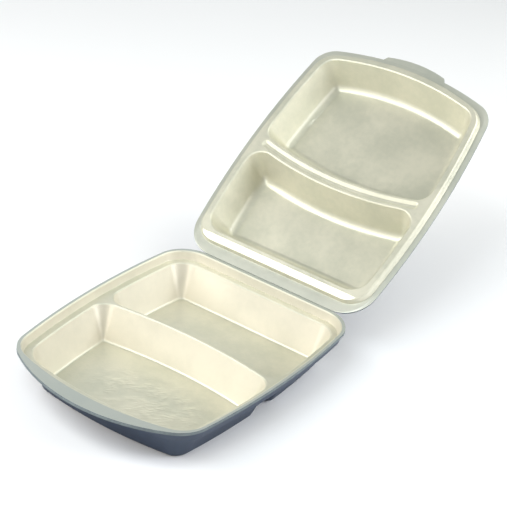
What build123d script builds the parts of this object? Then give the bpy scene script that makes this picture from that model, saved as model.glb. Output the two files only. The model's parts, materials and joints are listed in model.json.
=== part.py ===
from build123d import *
from dataclasses import dataclass, replace
from math import atan, cos, degrees
import os

# Two-compartment meal box, formed from one foam sheet and creased along the back.
# It stands open: the tray on its floors, the lid leaning back from the crease.
# Both halves are drawn flat: x along the crease, y away from it, z towards the food.
# The rim plane of each half is z = 0.  Sizes are in millimetres.

# Rim outline, shared by both halves.  Widths and lengths run to the sharp corners.
BACK_WIDTH = 176.0
FRONT_WIDTH = 174.0
SIDE_BOW = 8.2
BACK_CORNER = 29.0

# Tray rim, and the recess inside it that takes the lid's plug.  The front lip is its width at the middle.
TRAY_LENGTH = 218.7
TRAY_FRONT_BOW = 30.3
TRAY_FRONT_CORNER = 31.0
TRAY_WALL = 2.7
LIP_SIDE = 3.0
LIP_BACK = 4.0
LIP_FRONT = 13.7
RECESS_FRONT_BOW = 15.6
RECESS_BACK_CORNER = 26.0
RECESS_FRONT_CORNER = 25.0
RECESS_DEPTH = 7.3
RECESS_RUN = 2.0

# Tray compartments, from the shelf round them down to their floors
TRAY_DEPTH = 28.6
TRAY_SHELF_SIDE = 5.7
TRAY_SHELF_BACK = 6.4
TRAY_SHELF_FRONT = 2.7
TRAY_FRONT_EDGE_BOW = 9.0
TRAY_DIVIDER_PLACE = 112.0
TRAY_DIVIDER_BOW = 8.7
TRAY_DIVIDER_TOP = 3.0
TRAY_DIVIDER_CORNER = 14.0
TRAY_BACK_CORNER = 17.0
TRAY_MAIN_CORNER = 22.0
TRAY_WALL_RUN = 11.8
TRAY_FLOOR_FILLET = 2.6

# Lid flange, pressed down towards its trimmed edge, and plug ridge, whose top slopes towards the crease.
# The lid ends short of the tray's front by its shortfall, at the middle.
LID_SHORTFALL = 10.5
LID_FRONT_BOW = 14.3
LID_FRONT_CORNER = 21.5
LID_WALL = 1.8
FLANGE_SLOPE = 3.6
FLANGE_DROP = 1.0
PLUG_CLEARANCE = 1.6
PLUG_SETBACK = 10.0
PLUG_HEIGHT = 4.9
PLUG_RUN = 1.8
PLUG_BACK_CORNER = 21.0
CROWN_SLOPE = 7.0
CROWN_DROP = 1.5

# Tab on the lid's front edge, a step below the edge of the flange
TAB_ROOT_WIDTH = 66.0
TAB_TIP_WIDTH = 58.0
TAB_REACH = 5.8
TAB_BOW = 3.8
TAB_ROOT = 4.2
TAB_CORNER = 2.0
TAB_THICKNESS = 1.1
TAB_STEP = 0.2

# Lid compartments, from the top of the plug ridge to their roofs
LID_DEPTH = 27.9
LID_RIDGE_SIDE = 5.9
LID_RIDGE_BACK = 8.8
LID_RIDGE_FRONT = 2.0
LID_FRONT_EDGE_BOW = 11.7
LID_DIVIDER_PLACE = 116.1
LID_DIVIDER_BOW = 11.2
LID_DIVIDER_TOP = 11.4
LID_DIVIDER_CORNER = 14.0
LID_BACK_CORNER = 17.0
LID_MAIN_CORNER = 16.0
LID_WALL_RUN = 11.4
LID_ROOF_FILLET = 7.6

# Groove along the top of the lid's divider, between a ridge on each side
GROOVE_RIDGE = 1.9
GROOVE_FLOOR = 2.4
GROOVE_DEPTH = 1.7
GROOVE_END = 4.0
GROOVE_CORNER = 0.5

# Easing of the formed edges round each mouth
EDGE_CHAMFER = 0.8

# Crease, and the lid's angle above lying flat open
CREASE_GAP = 0.3
CREASE_WEB = 0.9
CREASE_WIDTH = 2.4
LID_ANGLE = 33.9


@dataclass
class Panel:
    """Outline that follows the rim's bowed sides, with bowed ends and round corners."""

    length: float
    back: float
    front: float
    inset: float
    back_bow: float
    front_bow: float
    back_corner: float
    front_corner: float

    def side(self, y):
        """Half width at a distance from the crease."""
        share = y / self.length
        straight = BACK_WIDTH / 2 * (1 - share) + FRONT_WIDTH / 2 * share
        return straight + 4 * SIDE_BOW * share * (1 - share) - self.inset

    def grown(self, distance):
        """The outline moved outwards by a distance on every side."""
        return replace(
            self,
            back=self.back - distance,
            front=self.front + distance,
            inset=self.inset - distance,
            back_corner=self.back_corner + distance,
            front_corner=self.front_corner + distance,
        )

    def face(self, z):
        """The outline as a flat face at a height."""
        near = self.side(self.back)
        far = self.side(self.front)
        halfway = (self.back + self.front) / 2
        belly = self.side(halfway)
        back_edge = Line((-near, self.back), (near, self.back))
        if self.back_bow:
            back_edge = ThreePointArc((-near, self.back), (0, self.back + self.back_bow), (near, self.back))
        outline = [
            back_edge,
            ThreePointArc((near, self.back), (belly, halfway), (far, self.front)),
            ThreePointArc((far, self.front), (0, self.front + self.front_bow), (-far, self.front)),
            ThreePointArc((-far, self.front), (-belly, halfway), (-near, self.back)),
        ]
        sharp = make_face(outline)
        back_round = fillet(sharp.vertices().group_by(Axis.Y)[0], self.back_corner)
        return Pos(0, 0, z) * fillet(back_round.vertices().group_by(Axis.Y)[-1], self.front_corner)


def raised(outline, height, run):
    """Solid that stands on an outline at z = 0 and narrows by a run on its way up."""
    return extrude(outline.face(0), height, taper=degrees(atan(run / height)))


def sunk(mouth, top, depth, run, wall=0.0):
    """Hollow pressed down from a mouth and narrowing by a run, or its outside where a wall is given."""
    slope = run / depth
    spread = wall / cos(atan(slope))
    form = raised(mouth.grown(spread), depth + wall, slope * (depth + wall))
    return Pos(0, 0, top) * mirror(form, about=Plane.XY)


def tub(mouth, top, depth, run, rounding, wall=0.0):
    """Compartment with its floor edges rounded, or its outside where a wall is given."""
    form = sunk(mouth, top, depth, run, wall)
    return fillet(form.edges().group_by(Axis.Z)[0], rounding + wall)


def level(shape, z):
    """The largest flat face of a shape at a height."""
    flat = shape.faces().filter_by(Axis.Z).filter_by_position(Axis.Z, z - 0.01, z + 0.01)
    return flat.sort_by(SortBy.AREA)[-1]


def mouth_edges(shape, z):
    """Edges round each opening in the flat face at a height, the nearest to the crease first."""
    return [wire.edges() for wire in level(shape, z).inner_wires().sort_by(Axis.Y)]


def crushed_crease(wall):
    """Wedge that thins the sheet along the crease, from its outer side."""
    section = Polyline(
        (-wall, -CREASE_WEB),
        (0, -CREASE_WEB),
        (CREASE_WIDTH, -wall),
        (CREASE_WIDTH, -2 * wall),
        (-wall, -2 * wall),
        (-wall, -CREASE_WEB),
    )
    return extrude(Plane.YZ * make_face(section), BACK_WIDTH / 2, both=True)


# Tray outlines.  The edge of each half is its front at the middle.
tray_edge = TRAY_LENGTH + TRAY_FRONT_BOW
tray_rim = Panel(
    length=TRAY_LENGTH,
    back=0,
    front=TRAY_LENGTH,
    inset=0,
    back_bow=0,
    front_bow=TRAY_FRONT_BOW,
    back_corner=BACK_CORNER,
    front_corner=TRAY_FRONT_CORNER,
)
recess_mouth = Panel(
    length=TRAY_LENGTH,
    back=LIP_BACK,
    front=tray_edge - LIP_FRONT - RECESS_FRONT_BOW,
    inset=LIP_SIDE,
    back_bow=0,
    front_bow=RECESS_FRONT_BOW,
    back_corner=RECESS_BACK_CORNER,
    front_corner=RECESS_FRONT_CORNER,
)
shelf = recess_mouth.grown(-RECESS_RUN)
tray_small = Panel(
    length=TRAY_LENGTH,
    back=shelf.back + TRAY_SHELF_BACK,
    front=TRAY_DIVIDER_PLACE - TRAY_DIVIDER_TOP / 2,
    inset=shelf.inset + TRAY_SHELF_SIDE,
    back_bow=0,
    front_bow=-TRAY_DIVIDER_BOW,
    back_corner=TRAY_BACK_CORNER,
    front_corner=TRAY_DIVIDER_CORNER,
)
tray_main = Panel(
    length=TRAY_LENGTH,
    back=TRAY_DIVIDER_PLACE + TRAY_DIVIDER_TOP / 2,
    front=shelf.front - TRAY_SHELF_FRONT,
    inset=shelf.inset + TRAY_SHELF_SIDE,
    back_bow=-TRAY_DIVIDER_BOW,
    front_bow=TRAY_FRONT_EDGE_BOW,
    back_corner=TRAY_DIVIDER_CORNER,
    front_corner=TRAY_MAIN_CORNER,
)


def tray_form(wall=0.0):
    """Recess and compartments of the tray: the food side, or the outside where a wall is given."""
    form = sunk(recess_mouth, 0, RECESS_DEPTH, RECESS_RUN, wall)
    for mouth in (tray_small, tray_main):
        form += tub(mouth, -RECESS_DEPTH, TRAY_DEPTH, TRAY_WALL_RUN, TRAY_FLOOR_FILLET, wall)
    return form


# Tray: flange and the outside of the form, with the food side and the crease cut from them
food_side = tray_form()
food_side = chamfer(sum(mouth_edges(food_side, -RECESS_DEPTH), []), EDGE_CHAMFER)
tray = extrude(tray_rim.face(-TRAY_WALL), TRAY_WALL) + tray_form(TRAY_WALL) - food_side
tray -= crushed_crease(TRAY_WALL)
tray = chamfer(mouth_edges(tray, 0)[0], EDGE_CHAMFER)

# Lid outlines.  The plug is the tray's recess less its clearance, and stands well clear of the crease.
lid_edge = tray_edge - LID_SHORTFALL
lid_length = lid_edge - LID_FRONT_BOW
lid_rim = Panel(
    length=lid_length,
    back=0,
    front=lid_length,
    inset=0,
    back_bow=0,
    front_bow=LID_FRONT_BOW,
    back_corner=BACK_CORNER,
    front_corner=LID_FRONT_CORNER,
)
plug_foot = replace(recess_mouth.grown(-PLUG_CLEARANCE), back=PLUG_SETBACK, back_corner=PLUG_BACK_CORNER)
plug_top = plug_foot.grown(-PLUG_RUN)
lid_small = Panel(
    length=TRAY_LENGTH,
    back=plug_top.back + LID_RIDGE_BACK,
    front=LID_DIVIDER_PLACE - LID_DIVIDER_TOP / 2,
    inset=plug_top.inset + LID_RIDGE_SIDE,
    back_bow=0,
    front_bow=-LID_DIVIDER_BOW,
    back_corner=LID_BACK_CORNER,
    front_corner=LID_DIVIDER_CORNER,
)
lid_main = Panel(
    length=TRAY_LENGTH,
    back=LID_DIVIDER_PLACE + LID_DIVIDER_TOP / 2,
    front=plug_top.front - LID_RIDGE_FRONT,
    inset=plug_top.inset + LID_RIDGE_SIDE,
    back_bow=-LID_DIVIDER_BOW,
    front_bow=LID_FRONT_EDGE_BOW,
    back_corner=LID_DIVIDER_CORNER,
    front_corner=LID_MAIN_CORNER,
)
groove_run = (LID_DIVIDER_TOP - GROOVE_FLOOR) / 2 - GROOVE_RIDGE
groove_bow = LID_DIVIDER_BOW * (1 - GROOVE_END / lid_main.side(LID_DIVIDER_PLACE)) ** 2
groove_ease = LID_DIVIDER_BOW - groove_bow
groove = Panel(
    length=TRAY_LENGTH,
    back=lid_small.front + GROOVE_RIDGE - groove_ease,
    front=lid_main.back - GROOVE_RIDGE - groove_ease,
    inset=plug_top.inset + LID_RIDGE_SIDE + GROOVE_END,
    back_bow=-groove_bow,
    front_bow=-groove_bow,
    back_corner=GROOVE_CORNER + groove_run,
    front_corner=GROOVE_CORNER + groove_run,
)


def lid_form(wall=0.0):
    """Groove and compartments of the lid: the food side, or the outside where a wall is given.
    Under the groove the sheet is pressed together to a plain block."""
    run = 0 if wall else groove_run
    form = sunk(groove.grown(wall), PLUG_HEIGHT, GROOVE_DEPTH + wall, run)
    for mouth in (lid_small, lid_main):
        form += tub(mouth, PLUG_HEIGHT, LID_DEPTH, LID_WALL_RUN, LID_ROOF_FILLET, wall)
    return form


def tab():
    """Flat tab on the lid's front edge, rooted in the flange."""
    root = lid_edge - TAB_ROOT
    tip = lid_edge + TAB_REACH
    shoulder = tip - TAB_BOW
    outline = [
        Line((-TAB_ROOT_WIDTH / 2, root), (TAB_ROOT_WIDTH / 2, root)),
        Line((TAB_ROOT_WIDTH / 2, root), (TAB_TIP_WIDTH / 2, shoulder)),
        ThreePointArc((TAB_TIP_WIDTH / 2, shoulder), (0, tip), (-TAB_TIP_WIDTH / 2, shoulder)),
        Line((-TAB_TIP_WIDTH / 2, shoulder), (-TAB_ROOT_WIDTH / 2, root)),
    ]
    sharp = make_face(outline)
    face = fillet(sharp.vertices().group_by(Axis.Y)[-1], TAB_CORNER)
    return extrude(Pos(0, 0, -FLANGE_DROP - TAB_STEP - TAB_THICKNESS) * face, TAB_THICKNESS)


# Lid flange: flat along the crease, and sloping down to its edge on the other sides
flange_reach = replace(lid_rim, back=-FLANGE_SLOPE)
flange = extrude(flange_reach.face(-LID_WALL), LID_WALL - FLANGE_DROP)
flange += Pos(0, 0, -FLANGE_DROP) * raised(flange_reach, FLANGE_DROP, FLANGE_SLOPE)
flange &= extrude(lid_rim.face(-LID_WALL), LID_WALL)

# Lid: hollow plug ridge and compartments on the flange, then the tab and the crease
plug_slope = PLUG_RUN / PLUG_HEIGHT
plug_skin = LID_WALL / cos(atan(plug_slope)) - LID_WALL * plug_slope
plug = raised(plug_foot, PLUG_HEIGHT, PLUG_RUN)
plug = chamfer(plug.edges().group_by(Axis.Z)[-1], EDGE_CHAMFER)
crown = replace(plug_foot.grown(CROWN_SLOPE + 1), back=plug_foot.back, back_corner=CROWN_SLOPE + 1)
plug_reach = extrude(crown.face(0), PLUG_HEIGHT - CROWN_DROP)
plug_reach += Pos(0, 0, PLUG_HEIGHT - CROWN_DROP) * raised(crown, CROWN_DROP, CROWN_SLOPE)
plug &= plug_reach
plug_hollow = raised(plug_foot.grown(-plug_skin), PLUG_HEIGHT, PLUG_RUN) & plug_reach
plug_hollow = Pos(0, 0, -LID_WALL) * plug_hollow
lid = flange + plug - plug_hollow + lid_form(LID_WALL) - lid_form()
lid = lid + tab() - crushed_crease(LID_WALL)
lid = chamfer(mouth_edges(lid, PLUG_HEIGHT)[0], EDGE_CHAMFER)
lid = chamfer(mouth_edges(lid, PLUG_HEIGHT)[-1], EDGE_CHAMFER)

# Standing open: the tray on its floors, with the origin under the middle of the main compartment
floor_middle = (tray_main.back + tray_main.front) / 2
rim_height = RECESS_DEPTH + TRAY_DEPTH + TRAY_WALL
tray = Pos(0, floor_middle, rim_height) * Rot(0, 0, 180) * tray
lid = Pos(0, CREASE_GAP / 2, -CREASE_GAP / 2) * lid
lid = Pos(0, floor_middle + CREASE_GAP / 2, rim_height + CREASE_GAP / 2) * Rot(LID_ANGLE, 0, 0) * lid

os.makedirs("parts", exist_ok=True)
export_step(tray, "parts/tray.step")
export_step(lid, "parts/lid.step")
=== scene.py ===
import json
import math

import bpy
from mathutils import Matrix, Vector


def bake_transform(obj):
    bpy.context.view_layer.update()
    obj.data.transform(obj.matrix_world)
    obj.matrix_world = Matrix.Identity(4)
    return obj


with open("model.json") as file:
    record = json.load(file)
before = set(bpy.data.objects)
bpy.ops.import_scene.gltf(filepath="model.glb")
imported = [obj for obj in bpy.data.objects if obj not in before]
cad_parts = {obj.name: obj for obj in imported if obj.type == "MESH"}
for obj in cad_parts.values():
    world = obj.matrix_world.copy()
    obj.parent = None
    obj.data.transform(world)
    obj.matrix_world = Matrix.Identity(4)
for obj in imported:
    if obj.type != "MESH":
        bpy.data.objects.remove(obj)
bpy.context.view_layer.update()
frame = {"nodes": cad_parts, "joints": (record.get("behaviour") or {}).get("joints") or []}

# Tray.  The lower half of the box, pressed from foam sheet about 3 mm thick.  Its food side
# carries a pearly cream film.  Its outer side is a dark slate, partly its own darker film and partly
# painted shade for the unlit underside, and the trimmed edge shows the cut between them.


class Finish:
    """One socket of a material.  Arithmetic on it adds Math nodes, and add() adds any other node."""

    def __init__(self, tree, socket=None):
        self.tree = tree
        self.socket = socket

    def add(self, kind, inputs=None, output=0, **settings):
        """A node of a kind, with its settings made first and then its sockets filled or linked."""
        node = self.tree.nodes.new(kind)
        for name, value in settings.items():
            setattr(node, name, value)
        for name, value in (inputs or {}).items():
            if isinstance(value, Finish):
                self.tree.links.new(value.socket, node.inputs[name])
            else:
                node.inputs[name].default_value = value
        return Finish(self.tree, node.outputs[output])

    def sum(self, operation, first, second, third=0.0):
        return self.add("ShaderNodeMath", {0: first, 1: second, 2: third}, operation=operation)

    def __add__(self, other):
        return self.sum("ADD", self, other)

    __radd__ = __add__

    def __sub__(self, other):
        return self.sum("SUBTRACT", self, other)

    def __rsub__(self, other):
        return self.sum("SUBTRACT", other, self)

    def __mul__(self, other):
        return self.sum("MULTIPLY", self, other)

    __rmul__ = __mul__

    def ramp(self, low, high):
        """0 below low and 1 above high, with a smooth step between."""
        return self.add(
            "ShaderNodeMapRange",
            {"Value": self, "From Min": low, "From Max": high},
            interpolation_type="SMOOTHSTEP",
        )

    def blend(self, under, over):
        """A colour that goes from one to the other as this value goes from 0 to 1."""
        return self.add(
            "ShaderNodeMix", {0: self, 6: under, 7: over}, output=2, data_type="RGBA", blend_type="MIX"
        )


def grain(finish, place, size, detail=2.0, rough=0.5):
    """Soft unevenness of the film, from 0 to 1, with patches about a size across, in metres."""
    return finish.add(
        "ShaderNodeTexNoise",
        {"Vector": place, "Scale": 1 / size, "Detail": detail, "Roughness": rough},
        output="Fac",
    )


def film_sheet(name, food_way, rim_shade, wall_light, pucker_middle=None, pucker_reach=None):
    """Film-faced foam sheet.  food_way is the direction that this half's food side faces.  The next
    argument is how strongly the flat rim is painted grey as a painted dark reflection, and the one after
    it how strongly the walls are painted a lighter, warmer cream as painted light.  It has puckered round
    the middle given, as far as the reach in metres along x, y and z."""
    pearl_low = (0.575, 0.575, 0.46, 1)
    pearl_high = (0.68, 0.66, 0.53, 1)
    # Painted shade: a cool grey for the flat rim, standing in for a dark reflection.
    rim_shade_tone = (0.38, 0.43, 0.42, 1)
    # Painted light: a lighter, warmer cream for the steep walls.
    lit_wall_tone = (0.80, 0.735, 0.62, 1)
    # Partly painted shade: the outer side's slate is its own darker film, made darker still as painted
    # shade for the unlit underside.
    shaded_slate_low = (0.014, 0.028, 0.056, 1)
    shaded_slate_high = (0.021, 0.038, 0.072, 1)
    trim_low = (0.09, 0.115, 0.125, 1)
    trim_high = (0.135, 0.165, 0.17, 1)

    sheet = bpy.data.materials.new(name)
    sheet.use_nodes = True
    tree = sheet.node_tree
    skin = tree.nodes["Principled BSDF"]
    finish = Finish(tree)
    place = finish.add("ShaderNodeTexCoord", output="Object")
    facing = finish.add("ShaderNodeTexCoord", output="Normal")
    facing = finish.add(
        "ShaderNodeVectorMath", {0: facing, 1: food_way}, output="Value", operation="DOT_PRODUCT"
    )
    food_side = facing.ramp(0.03, 0.08)
    outer_side = (0 - facing).ramp(0.03, 0.08)

    cloud = grain(finish, place, 0.05, 2.0)
    mottle = grain(finish, place, 0.005, 3.0, 0.6)
    patches = (cloud * 0.7 + mottle * 0.3).ramp(0.34, 0.66)
    pearl = patches.blend(pearl_low, pearl_high)

    # Painted shade: the flat rim is coloured a cool grey, a painted dark reflection.
    above = finish.add("ShaderNodeVectorMath", {0: place, 1: crease_line}, operation="SUBTRACT")
    above = finish.add(
        "ShaderNodeVectorMath", {0: above, 1: food_way}, output="Value", operation="DOT_PRODUCT"
    )
    rim = above.ramp(-0.0022, -0.0016) * (1 - above.ramp(0.0006, 0.0012)) * facing.ramp(0.8, 0.93)
    pearl = (rim * rim_shade).blend(pearl, rim_shade_tone)

    # Painted light: the steep walls of the food side are coloured a lighter, warmer cream than the floors,
    # as lit walls look, and made less metallic.
    lit_walls = food_side * (1 - facing.ramp(0.4, 0.92)) * wall_light
    pearl = lit_walls.blend(pearl, lit_wall_tone)
    flecks = mottle.ramp(0.3, 0.7)
    outside = outer_side.blend(flecks.blend(trim_low, trim_high), flecks.blend(shaded_slate_low, shaded_slate_high))
    colour = food_side.blend(outside, pearl)
    tree.links.new(colour.socket, skin.inputs["Base Color"])

    metallic = food_side * 0.48 - lit_walls * 0.2
    tree.links.new(metallic.socket, skin.inputs["Metallic"])
    bent = food_side * facing.ramp(0.42, 0.6) * (1 - facing.ramp(0.9, 0.99))
    roughness = mottle.ramp(0.25, 0.75) * 0.05 + cloud.ramp(0.3, 0.7) * 0.05 + 0.31
    roughness = roughness + bent * 0.12 + (1 - food_side) * 0.17
    tree.links.new(roughness.socket, skin.inputs["Roughness"])
    skin.inputs["Specular IOR Level"].default_value = 0.6

    relief = grain(finish, place, 0.014, 1.0) * 0.00003
    if pucker_middle:
        away = finish.add("ShaderNodeVectorMath", {0: place, 1: pucker_middle}, operation="SUBTRACT")
        shrunk = tuple(1 / reach for reach in pucker_reach)
        away = finish.add("ShaderNodeVectorMath", {0: away, 1: shrunk}, operation="MULTIPLY")
        away = finish.add("ShaderNodeVectorMath", {0: away}, output="Value", operation="LENGTH")
        stretched = finish.add(
            "ShaderNodeMapping",
            {"Vector": place, "Rotation": (0, 0, math.radians(38)), "Scale": (2.6, 1, 1)},
            vector_type="TEXTURE",
        )
        wrinkle = grain(finish, stretched, 0.0021, 1.0) * grain(finish, place, 0.012, 1.0).ramp(0.35, 0.65)
        relief = relief + (1 - away).ramp(0.0, 0.55) * wrinkle * 0.00042
    bump = finish.add("ShaderNodeBump", {"Height": relief, "Distance": 1.0, "Strength": 1.0})
    tree.links.new(bump.socket, skin.inputs["Normal"])
    return sheet


crease_line = Vector(frame["joints"][0]["pos_m"])
tray = frame["nodes"]["tray"]
tray.data.materials.clear()
tray_film = film_sheet(
    "tray_film",
    (0, 0, 1),
    rim_shade=0.7,
    wall_light=0.5,
    pucker_middle=(0.008, -0.006, 0.003),
    pucker_reach=(0.072, 0.046, 0.010),
)
tray.data.materials.append(tray_film)

# Lid.  The upper half, pressed in the same sheet, so it has the same two films.
# It leans back from the crease, and its food side faces up and towards the tray.
lid_lean = math.radians(33.9)
lid = frame["nodes"]["lid"]
lid.data.materials.clear()
lid_way = (0, -math.sin(lid_lean), math.cos(lid_lean))
lid.data.materials.append(film_sheet("lid_film", lid_way, rim_shade=0.4, wall_light=0.1))

# Crease.  The sheet between the two halves, crushed to under half a millimetre so that it folds
# as a hinge.  It follows the tray on one side and the lid on the other.
crease_reach = 0.0585
crease_leg = 0.0013
crease_radius = 0.00107
crease_half = 0.00017
leg_steps = 3
bend_steps = 8


def crease_section(depth):
    """Points across the crease at a depth below its line, from the tray's leg round to the lid's."""
    points = [Vector((0, -crease_leg * (1 - step / leg_steps), -depth)) for step in range(leg_steps)]
    for step in range(bend_steps + 1):
        bend = lid_lean * step / bend_steps
        points.append(Vector((0, depth * math.sin(bend), -depth * math.cos(bend))))
    along = Vector((0, math.cos(lid_lean), math.sin(lid_lean)))
    below = Vector((0, math.sin(lid_lean), -math.cos(lid_lean)))
    points += [along * crease_leg * step / leg_steps + below * depth for step in range(1, leg_steps + 1)]
    return points


ring = crease_section(crease_radius - crease_half) + crease_section(crease_radius + crease_half)[::-1]
stations = 40
corners = []
faces = []
for station in range(stations + 1):
    across = Vector((crease_reach * (2 * station / stations - 1), 0, 0))
    corners += [crease_line + across + point for point in ring]
for station in range(stations):
    first = station * len(ring)
    for point in range(len(ring)):
        after = (point + 1) % len(ring)
        faces.append((first + point, first + len(ring) + point, first + len(ring) + after, first + after))
faces.append(tuple(range(len(ring))))
faces.append(tuple(reversed(range(stations * len(ring), (stations + 1) * len(ring)))))
crease_mesh = bpy.data.meshes.new("crease_web")
crease_mesh.from_pydata(corners, [], faces)
crease_mesh.polygons.foreach_set("use_smooth", [len(face) == 4 for face in faces])
crease_web = bpy.data.objects.new("crease_web", crease_mesh)
bpy.context.scene.collection.objects.link(crease_web)
crease_way = (0, -math.sin(lid_lean / 2), math.cos(lid_lean / 2))
crease_mesh.materials.append(film_sheet("crease_film", crease_way, rim_shade=0.4, wall_light=0.0))
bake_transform(crease_web)

# Floor.  A plain pale sweep that the box stands on, larger than the view.
floor_reach = 4.0
floor_mesh = bpy.data.meshes.new("floor")
floor_mesh.from_pydata(
    [(-floor_reach, -floor_reach, 0), (floor_reach, -floor_reach, 0),
     (floor_reach, floor_reach, 0), (-floor_reach, floor_reach, 0)],
    [],
    [(0, 1, 2, 3)],
)
floor = bpy.data.objects.new("floor", floor_mesh)
bpy.context.scene.collection.objects.link(floor)
pale = bpy.data.materials.new("pale_floor")
pale.use_nodes = True
pale.node_tree.nodes["Principled BSDF"].inputs["Base Color"].default_value = (0.93, 0.93, 0.93, 1)
pale.node_tree.nodes["Principled BSDF"].inputs["Roughness"].default_value = 0.9
floor_mesh.materials.append(pale)

# Light.  Soft boxes round the object: tall ones at the front left and behind on the right, whose
# reflections run along the rounded edges, a cool one on the right, and fainter ones in front and behind.
softbox_aim = Vector((0, 0.14, 0.06))
softbox_distance = 1.3


def softbox(name, turn, rise, width, height, power, tint):
    """Soft box aimed at the object, at a turn from +X and a rise above the floor, in degrees."""
    level = math.cos(math.radians(rise))
    away = Vector((math.cos(math.radians(turn)) * level, math.sin(math.radians(turn)) * level, 0))
    away.z = math.sin(math.radians(rise))
    lamp = bpy.data.lights.new(name, "AREA")
    lamp.shape = "RECTANGLE"
    lamp.size = width
    lamp.size_y = height
    lamp.energy = power
    lamp.color = tint
    stand = bpy.data.objects.new(name, lamp)
    stand.location = softbox_aim + away * softbox_distance
    stand.rotation_euler = (-away).to_track_quat("-Z", "Y").to_euler()
    bpy.context.scene.collection.objects.link(stand)


softbox("front_left", 225, 33, 0.6, 1.1, 13.4, (1.0, 0.99, 0.97))
softbox("front_low", 270, 22, 0.6, 0.6, 3.8, (1.0, 0.94, 0.88))
softbox("front_high", 270, 52, 0.6, 0.6, 5.4, (0.85, 0.94, 1.0))
softbox("right", 20, 24, 0.6, 0.6, 10.4, (0.90, 0.92, 1.0))
softbox("back_right", 45, 45, 0.6, 1.0, 7.6, (0.98, 1.0, 0.92))
softbox("back_left", 135, 22, 0.6, 0.6, 0.9, (0.90, 0.95, 1.0))
room = bpy.data.worlds.new("room")
room.use_nodes = True
room.node_tree.nodes["Background"].inputs["Color"].default_value = (0.95, 0.98, 1.0, 1)
room.node_tree.nodes["Background"].inputs["Strength"].default_value = 0.25
bpy.context.scene.world = room
bpy.context.scene.view_settings.view_transform = "Standard"

# Camera.  Its turn, height and roll, and the point it looks at, are the photograph's.
camera_turn = math.radians(32.0)
camera_height = math.radians(29.8)
camera_roll = math.radians(7.1)
camera_distance = 1.5527
camera_aim = Vector((0.0225, 0.1008, 0.1012))
camera_lens = 139.85
way = (
    Matrix.Rotation(camera_turn, 4, "Z")
    @ Matrix.Rotation(math.pi / 2 - camera_height, 4, "X")
    @ Matrix.Rotation(camera_roll, 4, "Z")
)
lens = bpy.data.cameras.new("camera")
lens.lens = camera_lens
lens.sensor_width = 36
camera = bpy.data.objects.new("camera", lens)
camera.matrix_world = Matrix.Translation(camera_aim + way @ Vector((0, 0, camera_distance))) @ way
bpy.context.scene.collection.objects.link(camera)
bpy.context.scene.camera = camera
